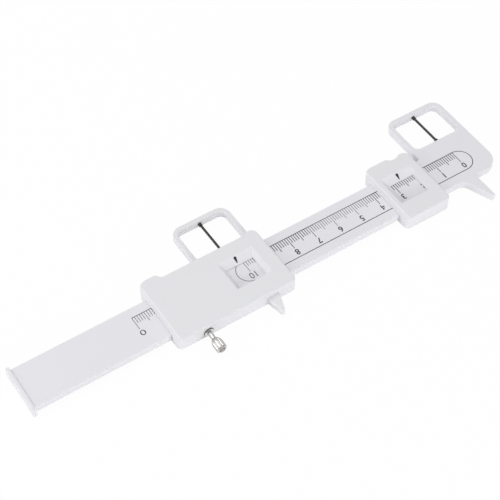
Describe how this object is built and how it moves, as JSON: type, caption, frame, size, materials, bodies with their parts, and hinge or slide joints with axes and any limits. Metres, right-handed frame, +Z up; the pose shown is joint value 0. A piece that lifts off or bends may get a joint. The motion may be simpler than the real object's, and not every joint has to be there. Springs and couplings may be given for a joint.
{
  "type": "pupillary distance ruler",
  "caption": "Plastic sliding ruler with a fixed and a moving sighting frame with hairlines, measuring teeth, a locking thumb screw and a small second slider.",
  "frame": {"origin": "under the middle of the whole ruler's box, on the plane that its sliders and end stop lie on", "axes": "+X along the rule towards the fixed frame, +Y across it towards the frames, +Z up out of the printed face"},
  "size_m": [0.209, 0.0562, 0.0065],
  "materials": {
    "white_plastic": "satin white moulding, printed scales",
    "slider_plastic": "satin white moulding",
    "hairline": "black",
    "nickel_plate": "nickel-plated",
    "screw_steel": "zinc-plated",
    "spring_steel": "blued spring strip",
    "gib_brass": "plain"
  },
  "bodies": {
    "rule": {"main_rule": "white_plastic", "end_stop": "white_plastic", "fixed_sight_wire": "hairline", "fixed_wire_ferrules": "hairline"},
    "slider": {"slider_body": "slider_plastic", "slider_cover": "slider_plastic", "slider_cover_screws": "screw_steel", "slider_sight_wire": "hairline", "slider_wire_ferrules": "hairline", "slider_spring": "spring_steel", "slider_gib": "gib_brass", "lock_bush": "nickel_plate"},
    "lock_stud": {"lock_screw": "nickel_plate"},
    "lock_head": {"lock_knob": "nickel_plate"},
    "cursor": {"cursor_body": "slider_plastic", "cursor_cover": "slider_plastic", "cursor_cover_screws": "screw_steel", "cursor_spring": "spring_steel"}
  },
  "joints": [
    {"name": "slider_slide", "type": "slide", "parent": "rule", "child": "slider", "axis": [1, 0, 0], "range_m": [-0.055, 0.0256]},
    {"name": "cursor_slide", "type": "slide", "parent": "rule", "child": "cursor", "axis": [1, 0, 0], "range_m": [-0.0256, 0.002]},
    {"name": "lock_advance", "type": "slide", "parent": "slider", "child": "lock_stud", "axis": [0, 1, 0], "range_m": [-0.0008, 0.00005]},
    {"name": "lock_turn", "type": "hinge", "parent": "lock_stud", "child": "lock_head", "pos_m": [-0.0356, -0.0226, 0.0026], "axis": [0, 1, 0], "range_deg": [-721, 46]}
  ],
  "couplings": [
    {"joint": "lock_turn", "follows": "lock_advance", "rad_per_m": 15708}
  ]
}
